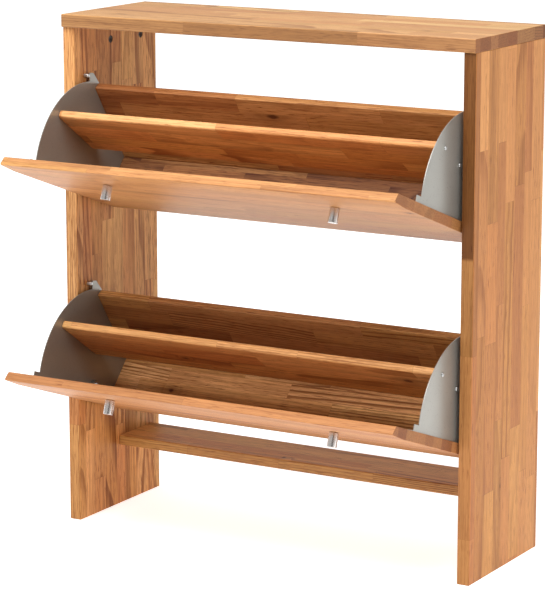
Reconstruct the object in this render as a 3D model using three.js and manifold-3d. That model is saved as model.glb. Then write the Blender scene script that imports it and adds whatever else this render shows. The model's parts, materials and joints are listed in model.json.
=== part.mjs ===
// Shoe cabinet of solid laminated wood: two side panels, a top and a low rear rail carry two
// tilt-out compartments. Each compartment is a front panel with a divider, a rear board and a
// floor board held between two sheet-steel side plates, and it swings on two pivot pins.
// Millimetres. X to the right, Y to the back, Z up.
// The compartments stand open, leaning on their stop pins.

import * as THREE from 'three';
import { mergeVertices } from 'three/addons/utils/BufferGeometryUtils.js';
import Module from 'manifold-3d';

const wasm = await Module();
wasm.setup();

// Carcass
const WIDTH = 878;
const HEIGHT = 1000;
const DEPTH = 296;
const BOARD = 25; // top and side panels
const TOP_OVERHANG = 5.5; // top panel past the side panels' front edges
const EDGE_ROUND = 2.5; // long edges of the boards
const END_ROUND = 1.2; // end edges of the boards
const BUTT_ROUND = 1.5; // long edges that butt against another board
const BUTT_END_ROUND = 0.5; // end edges between the side plates
const INNER_HALF = WIDTH / 2 - BOARD; // centre plane to a side panel's inner face
const UNDER_TOP = HEIGHT - BOARD;

// Rear rail
const RAIL_FRONT = 147;
const RAIL_DEPTH = 122;
const RAIL_THICK = 20;
const RAIL_UNDERSIDE = 122;

// Cam fittings between the top and the side panels
const CAM_DIAMETER = 15;
const CAM_DEPTH = 13;
const CAM_BELOW_TOP = 34; // cam axis below the top panel's underside
const CAM_BACK = [['front', 133], ['rear', 240]];
const CAM_BOLT_INSET = 9; // bolt axis from the side panel's inner face
const CAM_CLEARANCE = 0.3;
const CAM_RECESS = 0.4; // cam below the side panel's inner face
const CAM_SLOT = 7; // across the slot that takes the bolt's head
const CAM_SLOT_BELOW = 4; // slot below the cam's axis
const CAM_CROSS = 8; // length of the screwdriver cross
const CAM_CROSS_WIDTH = 1.4;
const CAM_CROSS_DEPTH = 2.5;
const BOLT_CHANNEL_RADIUS = 4; // from the cam up to the side panel's top
const BOLT_BORE_RADIUS = 2.8; // in the top panel
const BOLT_BORE_DEPTH = 12;
const BOLT_HEAD_RADIUS = 3.1;
const BOLT_HEAD_HALF = 3; // half the head's height, about the cam's axis
const BOLT_NECK_RADIUS = 1.8;
const BOLT_NECK = 6; // length of the neck above the head
const BOLT_COLLAR_RADIUS = 3.5;
const BOLT_THREAD_RADIUS = 2.5;
const BOLT_THREAD = 11.5; // length in the top panel
const BOLT_POINT_RADIUS = 1.6;
const BOLT_POINT = 1.5;

// Compartments, in a frame with its origin on the pivot axis and the front panel upright
const PIVOT_BACK = 41; // behind the top panel's front edge
const PIVOT_HEIGHT = { upper: 679.5, lower: 271.5 };
const OPEN_ANGLE = THREE.MathUtils.degToRad(70.7);
const GAP = 0.3; // between pieces that are screwed together
const BORE_END = 0.5; // left past the end of a pin, dowel or screw in its bore

const FRONT_LENGTH = 822;
const FRONT_OUTER = -36; // outer face, in front of the pivot
const FRONT_THICK = 20;
const FRONT_INNER = FRONT_OUTER + FRONT_THICK;
const FRONT_BOTTOM = -110;
const FRONT_TOP = 293.5;
const FRONT_TOP_SLOPE = 10; // fall of the top edge towards the inner face
const FRONT_TAPER = 3; // outer face drawn back at the top edge
const FRONT_TAPER_HEIGHT = 48; // over this height

const THIN_BOARD = 15; // divider, rear board and floor board
const CORNER = new THREE.Vector2(66, -105); // where floor and rear board meet inside
const REAR_ANGLE = THREE.MathUtils.degToRad(53.5); // rear board from the horizontal
const REAR_LENGTH = 177;
const FLOOR_ANGLE = THREE.MathUtils.degToRad(22.8); // rise of the floor towards the front
const DIVIDER_FOOT = new THREE.Vector2(57, 8); // lower edge of its front face
const DIVIDER_TILT = THREE.MathUtils.degToRad(14.2);
const DIVIDER_LENGTH = 139;

const PLATE_THICK = 1.5;
const PLATE_INNER = 405.3; // centre plane to a side plate's inner face
const PLATE_OUTER = PLATE_INNER + PLATE_THICK;
const BOARD_HALF = PLATE_INNER - GAP; // half the length of the boards between the plates
const ARC_CENTRE = new THREE.Vector2(9.3, 12);
const ARC_RADIUS = 176;
const FOOT_TOP = 205.4;
const EAR_REACH = 205; // tip of the ear, from the pivot axis
const EAR_WIDTH = 2.5; // across its blunt tip
const EAR_DROP = 12; // fall of its tip towards the rear board
const FLANGE_WIDTH = 14;
const FLANGE_BOTTOM = -64;
const PLATE_MARGIN = 2; // of a side plate past the boards' outer faces
const PLATE_FOOT_MARGIN = 1; // past the rear board's lower end

// Pivot pins, bushes and nuts, along X from the centre plane
const PIN_RADIUS = 4;
const PIN_SHANK_RADIUS = 3;
const PIN_SHANK_DEPTH = 13;
const COLLAR_RADIUS = 8;
const COLLAR_THICK = 2.2;
const BUSH_BORE = 4.3;
const BUSH_SLEEVE_RADIUS = 5.7;
const BUSH_FLANGE_RADIUS = 9;
const BUSH_INNER = PLATE_INNER - 0.5;
const NUT_ACROSS = 13;
const NUT_THICK = 8;
const NUT_FACE = PLATE_INNER - 0.9;
const PIN_END = NUT_FACE - NUT_THICK - 5;
const PIN_CHAMFER = 0.7;
const BUSH_COLLAR_GAP = 0.4; // bush flange to the pin's collar

// Stop pins, fixed in the side panels
const STOP = new THREE.Vector2(0.8, 200); // behind and above the pivot axis
const STOP_RADIUS = 4;
const STOP_GAP = 0.5; // left between the ear and the pin when the compartment leans on it
const STOP_REACH = 10; // out of the side panel
const STOP_SET = 12; // into the side panel
const STOP_CHAMFER = 0.6;

// Knobs and screws
const KNOB_SPREAD = 240;
const KNOB_ABOVE = 184; // above the pivot axis, on the front panel
const KNOB_RADIUS = 9;
const KNOB_LENGTH = 28;
const KNOB_RIM = 0.8; // easing of its two rims
const SCREW_RADIUS = 2;
const SCREW_HOLE = 2.3;
const SCREW_HEAD_RADIUS = 4;
const SCREW_HEAD_THICK = 2.4;
const SCREW_HEAD_EASE = 1.2; // narrowing of its upper half
const SCREW_POINT = 3;
const DIVIDER_SCREW_DEPTH = 20;
const DIVIDER_SCREWS = [['low', 57], ['high', 126]]; // along the divider from its foot
const KNOB_SCREW_DEPTH = 12; // into the knob

const DOWEL_RADIUS = 4;
const DOWEL_IN_PANEL = 12;
const DOWEL_IN_RAIL = 23;
const DOWEL_BACK = [['front', 178], ['rear', 238]];

const SIDES = [['left', -1], ['right', 1]];

const wood = new THREE.MeshStandardMaterial({ color: 0xc98a55, roughness: 0.55, metalness: 0 });
const birch = new THREE.MeshStandardMaterial({ color: 0xd8b98a, roughness: 0.7, metalness: 0 });
const paintedSteel = new THREE.MeshStandardMaterial({ color: 0xa9a59a, roughness: 0.5, metalness: 0.2 });
const brightSteel = new THREE.MeshStandardMaterial({ color: 0xb8b8b8, roughness: 0.3, metalness: 0.9 });
const castZinc = new THREE.MeshStandardMaterial({ color: 0x4a4642, roughness: 0.5, metalness: 0.7 });
const plastic = new THREE.MeshStandardMaterial({ color: 0x2b2b2b, roughness: 0.6, metalness: 0 });

// ---- Solids -----------------------------------------------------------------------------------

function toSolid(geometry) {
  const bare = geometry.clone();
  bare.deleteAttribute('normal');
  bare.deleteAttribute('uv');
  const merged = mergeVertices(bare, 1e-4);
  const mesh = new wasm.Mesh({
    numProp: 3,
    vertProperties: new Float32Array(merged.attributes.position.array),
    triVerts: new Uint32Array(merged.index.array),
  });
  return new wasm.Manifold(mesh);
}

function toGeometry(solid) {
  const mesh = solid.getMesh();
  const geometry = new THREE.BufferGeometry();
  geometry.setAttribute('position', new THREE.BufferAttribute(mesh.vertProperties, 3));
  geometry.setIndex(new THREE.BufferAttribute(mesh.triVerts, 1));
  geometry.computeVertexNormals();
  return geometry;
}

function cut(geometry, tools) {
  let solid = toSolid(geometry);
  for (const tool of tools) {
    solid = solid.subtract(toSolid(tool));
  }
  return toGeometry(solid);
}

function join(geometry, piece) {
  return toGeometry(toSolid(geometry).add(toSolid(piece)));
}

// Closed outline through corner points, each corner [across, up, rounding].
function roundedOutline(corners) {
  const shape = new THREE.Shape();
  corners.forEach(([across, up, rounding], i) => {
    const corner = new THREE.Vector2(across, up);
    const [beforeX, beforeY] = corners[(i + corners.length - 1) % corners.length];
    const [afterX, afterY] = corners[(i + 1) % corners.length];
    const towardsBefore = new THREE.Vector2(beforeX, beforeY).sub(corner).normalize();
    const towardsAfter = new THREE.Vector2(afterX, afterY).sub(corner).normalize();
    const start = corner.clone().addScaledVector(towardsBefore, rounding);
    const end = corner.clone().addScaledVector(towardsAfter, rounding);
    if (i === 0) {
      shape.moveTo(start.x, start.y);
    } else {
      shape.lineTo(start.x, start.y);
    }
    if (rounding > 0) {
      shape.quadraticCurveTo(corner.x, corner.y, end.x, end.y);
    }
  });
  shape.closePath();
  return shape;
}

// Straight bar of one outline, centred on its length, with eased ends, along its local Z.
function bar(outline, length, endRound = END_ROUND) {
  const geometry = new THREE.ExtrudeGeometry(outline, {
    depth: length - 2 * endRound,
    curveSegments: 3,
    bevelEnabled: endRound > 0,
    bevelThickness: endRound,
    bevelSize: endRound,
    bevelOffset: -endRound,
    bevelSegments: 2,
  });
  return geometry.translate(0, 0, endRound - length / 2);
}

// Turns an outline's across, up and length into Y, Z and X.
function alongX(geometry) {
  const turn = new THREE.Matrix4().makeBasis(
    new THREE.Vector3(0, 1, 0),
    new THREE.Vector3(0, 0, 1),
    new THREE.Vector3(1, 0, 0),
  );
  return geometry.applyMatrix4(turn);
}

function rodX(radius, from, to, back, up, segments = 12) {
  const geometry = new THREE.CylinderGeometry(radius, radius, Math.abs(to - from), segments);
  geometry.rotateZ(Math.PI / 2);
  return geometry.translate((from + to) / 2, back, up);
}

function rodY(radius, from, to, across, up, segments = 12) {
  const geometry = new THREE.CylinderGeometry(radius, radius, Math.abs(to - from), segments);
  return geometry.translate(across, (from + to) / 2, up);
}

function rodZ(radius, from, to, across, back, segments = 12) {
  const geometry = new THREE.CylinderGeometry(radius, radius, Math.abs(to - from), segments);
  geometry.rotateX(Math.PI / 2);
  return geometry.translate(across, back, (from + to) / 2);
}

function block(from, to) {
  const low = new THREE.Vector3(...from).min(new THREE.Vector3(...to));
  const high = new THREE.Vector3(...from).max(new THREE.Vector3(...to));
  const size = high.clone().sub(low);
  const middle = low.add(high).divideScalar(2);
  return new THREE.BoxGeometry(size.x, size.y, size.z).translate(middle.x, middle.y, middle.z);
}

// Turned piece: profile points [radius, distance], distance growing along +X or, for the left, -X.
function turnedAlongX(profile, side, segments = 16) {
  const points = profile.map(([radius, distance]) => new THREE.Vector2(radius, distance));
  const geometry = new THREE.LatheGeometry(points, segments);
  geometry.rotateZ(-Math.PI / 2);
  if (side < 0) {
    geometry.rotateZ(Math.PI);
  }
  return geometry;
}

function turnedAlongY(profile, segments) {
  return new THREE.LatheGeometry(profile.map(([radius, y]) => new THREE.Vector2(radius, y)), segments);
}

function turnedAlongZ(profile, segments = 12) {
  const points = profile.map(([radius, height]) => new THREE.Vector2(radius, height));
  return new THREE.LatheGeometry(points, segments).rotateX(Math.PI / 2);
}

function place(parent, name, geometry, material, position = [0, 0, 0]) {
  const mesh = new THREE.Mesh(geometry, material);
  mesh.name = name;
  mesh.position.set(...position);
  parent.add(mesh);
  return mesh;
}

// ---- Carcass ----------------------------------------------------------------------------------

const camHeight = UNDER_TOP - CAM_BELOW_TOP;
const camBoltAcross = INNER_HALF + CAM_BOLT_INSET;
const railMidHeight = RAIL_UNDERSIDE + RAIL_THICK / 2;

function addTopPanel(parent) {
  const outline = roundedOutline([
    [0, UNDER_TOP, EDGE_ROUND],
    [DEPTH, UNDER_TOP, EDGE_ROUND],
    [DEPTH, HEIGHT, EDGE_ROUND],
    [0, HEIGHT, EDGE_ROUND],
  ]);
  const holes = [];
  for (const [, side] of SIDES) {
    for (const [, back] of CAM_BACK) {
      const boreTop = UNDER_TOP + BOLT_BORE_DEPTH;
      holes.push(rodZ(BOLT_BORE_RADIUS, UNDER_TOP - 1, boreTop, side * camBoltAcross, back));
    }
  }
  place(parent, 'top_panel', cut(alongX(bar(outline, WIDTH)), holes), wood);
}

function addSidePanel(parent, name, side) {
  const inner = side * INNER_HALF;
  const outer = side * (WIDTH / 2);
  const low = Math.min(inner, outer);
  const high = Math.max(inner, outer);
  const outline = roundedOutline([
    [low, TOP_OVERHANG, EDGE_ROUND],
    [high, TOP_OVERHANG, EDGE_ROUND],
    [high, DEPTH, EDGE_ROUND],
    [low, DEPTH, EDGE_ROUND],
  ]);
  const panel = bar(outline, UNDER_TOP).translate(0, 0, UNDER_TOP / 2);
  const holes = [];
  for (const [, back] of CAM_BACK) {
    holes.push(rodX(CAM_DIAMETER / 2, inner - side, inner + side * CAM_DEPTH, back, camHeight, 20));
    holes.push(rodZ(BOLT_CHANNEL_RADIUS, camHeight, UNDER_TOP + 1, side * camBoltAcross, back));
  }
  for (const [, back] of DOWEL_BACK) {
    const reach = inner + side * (DOWEL_IN_PANEL + BORE_END);
    holes.push(rodX(DOWEL_RADIUS + GAP, inner - side, reach, back, railMidHeight));
  }
  for (const pivotHeight of Object.values(PIVOT_HEIGHT)) {
    const pinReach = inner + side * (PIN_SHANK_DEPTH + BORE_END);
    holes.push(rodX(PIN_SHANK_RADIUS + GAP, inner - side, pinReach, PIVOT_BACK, pivotHeight));
    const stopReach = inner + side * (STOP_SET + BORE_END);
    const stopHeight = pivotHeight + STOP.y;
    const stopBack = PIVOT_BACK + STOP.x;
    holes.push(rodX(STOP_RADIUS + GAP, inner - side, stopReach, stopBack, stopHeight));
  }
  place(parent, `${name}_side_panel`, cut(panel, holes), wood);
}

function addBottomRail(parent) {
  const rear = RAIL_FRONT + RAIL_DEPTH;
  const upper = RAIL_UNDERSIDE + RAIL_THICK;
  const outline = roundedOutline([
    [RAIL_FRONT, RAIL_UNDERSIDE, EDGE_ROUND],
    [rear, RAIL_UNDERSIDE, EDGE_ROUND],
    [rear, upper, EDGE_ROUND],
    [RAIL_FRONT, upper, EDGE_ROUND],
  ]);
  const holes = [];
  for (const [, side] of SIDES) {
    for (const [, back] of DOWEL_BACK) {
      const reach = side * (INNER_HALF - DOWEL_IN_RAIL - BORE_END);
      holes.push(rodX(DOWEL_RADIUS + GAP, side * (INNER_HALF + 1), reach, back, railMidHeight));
    }
  }
  place(parent, 'bottom_rail', cut(alongX(bar(outline, 2 * INNER_HALF)), holes), wood);
}

function addRailDowels(parent) {
  for (const [sideName, side] of SIDES) {
    for (const [endName, back] of DOWEL_BACK) {
      const from = side * (INNER_HALF - DOWEL_IN_RAIL);
      const to = side * (INNER_HALF + DOWEL_IN_PANEL);
      const dowel = rodX(DOWEL_RADIUS, from, to, back, railMidHeight, 12);
      place(parent, `rail_dowel_${sideName}_${endName}`, dowel, birch);
    }
  }
}

// Cam: a slot open at the top takes the bolt's head, and a cross takes the screwdriver.
function addCamLock(parent, name, side, back) {
  const face = side * (INNER_HALF + CAM_RECESS);
  const rear = side * (INNER_HALF + CAM_DEPTH - CAM_CLEARANCE);
  const body = rodX(CAM_DIAMETER / 2 - CAM_CLEARANCE, face, rear, back, camHeight, 20);
  const across = side * camBoltAcross;
  const slot = block(
    [across - CAM_SLOT / 2, back - CAM_SLOT / 2, camHeight - CAM_SLOT_BELOW],
    [across + CAM_SLOT / 2, back + CAM_SLOT / 2, camHeight + CAM_DIAMETER / 2 + 1],
  );
  const crossBar = (halfBack, halfUp) => block(
    [face - side, back - halfBack, camHeight - halfUp],
    [face + side * CAM_CROSS_DEPTH, back + halfBack, camHeight + halfUp],
  );
  const upright = crossBar(CAM_CROSS_WIDTH / 2, CAM_CROSS / 2);
  const level = crossBar(CAM_CROSS / 2, CAM_CROSS_WIDTH / 2);
  place(parent, name, cut(body, [slot, upright, level]), castZinc);
}

function camBoltGeometry() {
  const neckTop = camHeight + BOLT_HEAD_HALF + BOLT_NECK;
  const threadTop = UNDER_TOP + BOLT_THREAD;
  return turnedAlongZ([
    [0, camHeight - BOLT_HEAD_HALF],
    [BOLT_HEAD_RADIUS, camHeight - BOLT_HEAD_HALF],
    [BOLT_HEAD_RADIUS, camHeight + BOLT_HEAD_HALF],
    [BOLT_NECK_RADIUS, camHeight + BOLT_HEAD_HALF + GAP],
    [BOLT_NECK_RADIUS, neckTop],
    [BOLT_COLLAR_RADIUS, neckTop + 1],
    [BOLT_COLLAR_RADIUS, UNDER_TOP - GAP],
    [BOLT_THREAD_RADIUS, UNDER_TOP - GAP],
    [BOLT_THREAD_RADIUS, threadTop - BOLT_POINT],
    [BOLT_POINT_RADIUS, threadTop],
    [0, threadTop],
  ]);
}

function addCamFittings(parent) {
  for (const [sideName, side] of SIDES) {
    for (const [endName, back] of CAM_BACK) {
      addCamLock(parent, `cam_lock_${sideName}_${endName}`, side, back);
      const at = [side * camBoltAcross, back, 0];
      place(parent, `cam_bolt_${sideName}_${endName}`, camBoltGeometry(), brightSteel, at);
    }
  }
}

// Pivot pin: shank in the side panel, collar on its inner face, journal through the bush.
function addPivotPins(parent) {
  const profile = [
    [0, PIN_END],
    [PIN_RADIUS - PIN_CHAMFER, PIN_END],
    [PIN_RADIUS, PIN_END + PIN_CHAMFER],
    [PIN_RADIUS, INNER_HALF - COLLAR_THICK],
    [COLLAR_RADIUS, INNER_HALF - COLLAR_THICK],
    [COLLAR_RADIUS, INNER_HALF],
    [PIN_SHANK_RADIUS, INNER_HALF],
    [PIN_SHANK_RADIUS, INNER_HALF + PIN_SHANK_DEPTH],
    [0, INNER_HALF + PIN_SHANK_DEPTH],
  ];
  for (const [level, pivotHeight] of Object.entries(PIVOT_HEIGHT)) {
    for (const [sideName, side] of SIDES) {
      const at = [0, PIVOT_BACK, pivotHeight];
      place(parent, `${level}_pivot_pin_${sideName}`, turnedAlongX(profile, side), brightSteel, at);

      const hexRadius = NUT_ACROSS / 2 / Math.cos(Math.PI / 6);
      const nutFrom = side * (NUT_FACE - NUT_THICK);
      const nutTo = side * NUT_FACE;
      const blank = rodX(hexRadius, nutFrom, nutTo, 0, 0, 6);
      const bore = rodX(PIN_RADIUS + GAP, nutFrom - side, nutTo + side, 0, 0, 16);
      place(parent, `${level}_pivot_nut_${sideName}`, cut(blank, [bore]), brightSteel, at);
    }
  }
}

function addStopPins(parent) {
  const profile = [
    [0, INNER_HALF - STOP_REACH],
    [STOP_RADIUS - STOP_CHAMFER, INNER_HALF - STOP_REACH],
    [STOP_RADIUS, INNER_HALF - STOP_REACH + STOP_CHAMFER],
    [STOP_RADIUS, INNER_HALF + STOP_SET],
    [0, INNER_HALF + STOP_SET],
  ];
  for (const [level, pivotHeight] of Object.entries(PIVOT_HEIGHT)) {
    for (const [sideName, side] of SIDES) {
      const at = [0, PIVOT_BACK + STOP.x, pivotHeight + STOP.y];
      place(parent, `${level}_stop_pin_${sideName}`, turnedAlongX(profile, side), brightSteel, at);
    }
  }
}

// ---- Compartments -----------------------------------------------------------------------------

const rearUp = new THREE.Vector2(Math.cos(REAR_ANGLE), Math.sin(REAR_ANGLE));
const rearOut = new THREE.Vector2(Math.sin(REAR_ANGLE), -Math.cos(REAR_ANGLE));
const floorForward = new THREE.Vector2(-Math.cos(FLOOR_ANGLE), Math.sin(FLOOR_ANGLE));
const floorDown = new THREE.Vector2(-Math.sin(FLOOR_ANGLE), -Math.cos(FLOOR_ANGLE));
const dividerUp = new THREE.Vector2(Math.sin(DIVIDER_TILT), Math.cos(DIVIDER_TILT));
const dividerBack = new THREE.Vector2(Math.cos(DIVIDER_TILT), -Math.sin(DIVIDER_TILT));

function along(start, ...steps) {
  const point = start.clone();
  for (const [direction, distance] of steps) {
    point.addScaledVector(direction, distance);
  }
  return point;
}

function addFrontPanel(parent, level) {
  const outline = roundedOutline([
    [FRONT_OUTER, FRONT_BOTTOM, EDGE_ROUND],
    [FRONT_INNER, FRONT_BOTTOM, EDGE_ROUND],
    [FRONT_INNER, FRONT_TOP - FRONT_TOP_SLOPE, EDGE_ROUND],
    [FRONT_OUTER + FRONT_TAPER, FRONT_TOP, 2 * EDGE_ROUND],
    [FRONT_OUTER, FRONT_TOP - FRONT_TAPER_HEIGHT, 0],
  ]);
  const holes = SIDES.map(([, side]) => (
    rodY(SCREW_HOLE, FRONT_OUTER - 1, FRONT_INNER + 1, side * KNOB_SPREAD, KNOB_ABOVE)
  ));
  place(parent, `${level}_front_panel`, cut(alongX(bar(outline, FRONT_LENGTH)), holes), wood);
}

function dividerScrewPoint(distance) {
  return along(DIVIDER_FOOT, [dividerUp, distance], [dividerBack, THIN_BOARD / 2]);
}

function addDivider(parent, level) {
  const footBack = along(DIVIDER_FOOT, [dividerBack, THIN_BOARD]);
  const topFront = along(DIVIDER_FOOT, [dividerUp, DIVIDER_LENGTH]);
  const topBack = along(topFront, [dividerBack, THIN_BOARD]);
  const outline = roundedOutline([
    [DIVIDER_FOOT.x, DIVIDER_FOOT.y, EDGE_ROUND],
    [footBack.x, footBack.y, EDGE_ROUND],
    [topBack.x, topBack.y, 2 * EDGE_ROUND],
    [topFront.x, topFront.y, 2 * EDGE_ROUND],
  ]);
  const holes = [];
  for (const [, side] of SIDES) {
    for (const [, distance] of DIVIDER_SCREWS) {
      const at = dividerScrewPoint(distance);
      const reach = side * (PLATE_OUTER - DIVIDER_SCREW_DEPTH - BORE_END);
      holes.push(rodX(SCREW_HOLE, side * (BOARD_HALF + 1), reach, at.x, at.y, 10));
    }
  }
  place(parent, `${level}_divider`, cut(alongX(bar(outline, 2 * BOARD_HALF)), holes), wood);
}

function addRearBoard(parent, level) {
  const footFront = along(CORNER, [rearUp, -THIN_BOARD]);
  const footBack = along(footFront, [rearOut, THIN_BOARD]);
  const topFront = along(CORNER, [rearUp, REAR_LENGTH]);
  const topBack = along(topFront, [rearOut, THIN_BOARD]);
  const outline = roundedOutline([
    [footFront.x, footFront.y, BUTT_ROUND],
    [footBack.x, footBack.y, EDGE_ROUND],
    [topBack.x, topBack.y, EDGE_ROUND],
    [topFront.x, topFront.y, EDGE_ROUND],
  ]);
  place(parent, `${level}_rear_board`, alongX(bar(outline, 2 * BOARD_HALF, BUTT_END_ROUND)), wood);
}

// The floor butts against the rear board's face at the back and the front panel at the front.
function addFloorBoard(parent, level) {
  const rearFaceDown = THIN_BOARD / Math.sin(REAR_ANGLE + FLOOR_ANGLE);
  const backTop = along(CORNER, [floorForward, GAP]);
  const backBottom = along(backTop, [rearUp, -rearFaceDown]);
  const frontFace = FRONT_INNER + GAP;
  const frontTop = along(CORNER, [floorForward, (CORNER.x - frontFace) / Math.cos(FLOOR_ANGLE)]);
  const outline = roundedOutline([
    [frontFace, frontTop.y - THIN_BOARD / Math.cos(FLOOR_ANGLE), BUTT_ROUND],
    [backBottom.x, backBottom.y, BUTT_ROUND],
    [backTop.x, backTop.y, BUTT_ROUND],
    [frontFace, frontTop.y, BUTT_ROUND],
  ]);
  place(parent, `${level}_floor_board`, alongX(bar(outline, 2 * BOARD_HALF, BUTT_END_ROUND)), wood);
}

// Side plate: quadrant with a foot strip and an inward flange on the front panel. Its ear meets
// the stop pin when the compartment is open, its foot when it is shut.
function sidePlateOutline() {
  const foot = FRONT_INNER + GAP;
  const footBack = STOP.x - STOP_RADIUS - GAP;
  const arcStart = Math.acos((footBack - ARC_CENTRE.x) / ARC_RADIUS);
  const stopWhenOpen = STOP.clone().rotateAround(new THREE.Vector2(), -OPEN_ANGLE);
  const earEdge = stopWhenOpen.angle() - Math.asin((STOP_RADIUS + STOP_GAP) / STOP.length());
  const earDirection = new THREE.Vector2(Math.cos(earEdge), Math.sin(earEdge));
  const centreAlong = earDirection.dot(ARC_CENTRE);
  const halfChord = Math.sqrt(ARC_RADIUS ** 2 - ARC_CENTRE.lengthSq() + centreAlong ** 2);
  const earBase = earDirection.clone().multiplyScalar(centreAlong + halfChord);
  const earTip = earDirection.clone().multiplyScalar(EAR_REACH);
  const earAngle = earBase.sub(ARC_CENTRE).angle();
  const rearSkirt = THIN_BOARD + PLATE_MARGIN;
  const rearTop = along(CORNER, [rearUp, REAR_LENGTH], [rearOut, rearSkirt]);
  const rearFoot = along(CORNER, [rearUp, -THIN_BOARD - PLATE_FOOT_MARGIN], [rearOut, rearSkirt]);
  const floorFront = along(CORNER, [floorForward, (CORNER.x - foot) / Math.cos(FLOOR_ANGLE)]);
  const shape = new THREE.Shape();
  shape.moveTo(foot, FOOT_TOP);
  shape.lineTo(foot, floorFront.y - THIN_BOARD / Math.cos(FLOOR_ANGLE) - PLATE_MARGIN);
  shape.lineTo(rearFoot.x, rearFoot.y);
  shape.lineTo(rearTop.x, rearTop.y);
  shape.lineTo(earTip.x + EAR_WIDTH, earTip.y - EAR_DROP);
  shape.lineTo(earTip.x, earTip.y);
  shape.absarc(ARC_CENTRE.x, ARC_CENTRE.y, ARC_RADIUS, earAngle, arcStart, false);
  shape.lineTo(footBack, FOOT_TOP);
  shape.closePath();
  return shape;
}

function addSidePlate(parent, level, sideName, side) {
  const sheet = new THREE.ExtrudeGeometry(sidePlateOutline(), {
    depth: PLATE_THICK,
    bevelEnabled: false,
    curveSegments: 36,
  });
  alongX(sheet).translate(side > 0 ? PLATE_INNER : -PLATE_OUTER, 0, 0);
  const foot = FRONT_INNER + GAP;
  const flange = block(
    [side * (PLATE_INNER - FLANGE_WIDTH), foot, FLANGE_BOTTOM],
    [side * (PLATE_OUTER - PLATE_THICK / 2), foot + PLATE_THICK, FOOT_TOP],
  );
  const through = [side * (PLATE_INNER - 1), side * (PLATE_OUTER + 1)];
  const holes = [rodX(BUSH_SLEEVE_RADIUS + GAP, ...through, 0, 0, 16)];
  for (const [, distance] of DIVIDER_SCREWS) {
    const at = dividerScrewPoint(distance);
    holes.push(rodX(SCREW_HOLE, ...through, at.x, at.y, 10));
  }
  place(parent, `${level}_side_plate_${sideName}`, cut(join(sheet, flange), holes), paintedSteel);
}

// Bush: flange between the plate and the pin's collar, sleeve through the plate.
function addPivotBush(parent, level, sideName, side) {
  const flangeInner = PLATE_OUTER + GAP;
  const flangeOuter = INNER_HALF - COLLAR_THICK - BUSH_COLLAR_GAP;
  const bush = turnedAlongX([
    [BUSH_BORE, BUSH_INNER],
    [BUSH_SLEEVE_RADIUS, BUSH_INNER],
    [BUSH_SLEEVE_RADIUS, flangeInner],
    [BUSH_FLANGE_RADIUS, flangeInner],
    [BUSH_FLANGE_RADIUS, flangeOuter],
    [BUSH_BORE, flangeOuter],
    [BUSH_BORE, BUSH_INNER],
  ], side);
  place(parent, `${level}_pivot_bush_${sideName}`, bush, plastic);
}

// Screw profile: its point at a distance, the underside of its head at another.
function screwProfile(point, pointLength, head) {
  return [
    [0, point],
    [SCREW_RADIUS, point + pointLength],
    [SCREW_RADIUS, head],
    [SCREW_HEAD_RADIUS, head],
    [SCREW_HEAD_RADIUS, head + SCREW_HEAD_THICK / 2],
    [SCREW_HEAD_RADIUS - SCREW_HEAD_EASE, head + SCREW_HEAD_THICK],
    [0, head + SCREW_HEAD_THICK],
  ];
}

function addDividerScrews(parent, level, sideName, side) {
  const profile = screwProfile(PLATE_OUTER - DIVIDER_SCREW_DEPTH, SCREW_POINT, PLATE_OUTER + GAP);
  for (const [rowName, distance] of DIVIDER_SCREWS) {
    const at = dividerScrewPoint(distance);
    const name = `${level}_divider_screw_${sideName}_${rowName}`;
    place(parent, name, turnedAlongX(profile, side, 10), brightSteel, [0, at.x, at.y]);
  }
}

// Knob: a plain cylinder with eased rims and a blind bore for its screw.
function addKnob(parent, level, sideName, side) {
  const foot = FRONT_OUTER - GAP;
  const tip = foot - KNOB_LENGTH;
  const boreEnd = FRONT_OUTER - KNOB_SCREW_DEPTH - 1;
  const profile = [
    [0, tip],
    [KNOB_RADIUS - KNOB_RIM, tip],
    [KNOB_RADIUS, tip + KNOB_RIM],
    [KNOB_RADIUS, foot - KNOB_RIM],
    [KNOB_RADIUS - KNOB_RIM, foot],
    [SCREW_HOLE, foot],
    [SCREW_HOLE, boreEnd],
    [0, boreEnd],
  ];
  const at = [side * KNOB_SPREAD, 0, KNOB_ABOVE];
  place(parent, `${level}_knob_${sideName}`, turnedAlongY(profile, 24), brightSteel, at);
  const screw = screwProfile(FRONT_OUTER - KNOB_SCREW_DEPTH, 0, FRONT_INNER + GAP);
  place(parent, `${level}_knob_screw_${sideName}`, turnedAlongY(screw, 10), brightSteel, at);
}

function addCompartment(parent, level) {
  const flap = new THREE.Group();
  flap.position.set(0, PIVOT_BACK, PIVOT_HEIGHT[level]);
  flap.rotation.x = OPEN_ANGLE;
  parent.add(flap);
  addFrontPanel(flap, level);
  addDivider(flap, level);
  addRearBoard(flap, level);
  addFloorBoard(flap, level);
  for (const [sideName, side] of SIDES) {
    addSidePlate(flap, level, sideName, side);
    addPivotBush(flap, level, sideName, side);
    addDividerScrews(flap, level, sideName, side);
    addKnob(flap, level, sideName, side);
  }
}

// ---- Assembly ---------------------------------------------------------------------------------

const group = new THREE.Group();
addTopPanel(group);
for (const [sideName, side] of SIDES) {
  addSidePanel(group, sideName, side);
}
addBottomRail(group);
addRailDowels(group);
addCamFittings(group);
addPivotPins(group);
addStopPins(group);
for (const level of Object.keys(PIVOT_HEIGHT)) {
  addCompartment(group, level);
}

// The origin lies on the floor, under the middle of the whole open cabinet.
group.updateMatrixWorld(true);
const extent = new THREE.Box3().setFromObject(group, true);
group.position.y = -(extent.min.y + extent.max.y) / 2;

export default group;
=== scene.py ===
"""Looks for a shoe cabinet of laminated solid wood with two tilting compartments.

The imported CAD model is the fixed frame. The boards, the sheet-steel side plates, the cam bolts and the
dowels keep their CAD shape and get a material. The other small fittings are rebuilt in mesh code at full
detail, and short screws that the CAD leaves out are added.
Metres, in the row frame: X to the right, Y to the back, Z up.
"""

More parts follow.
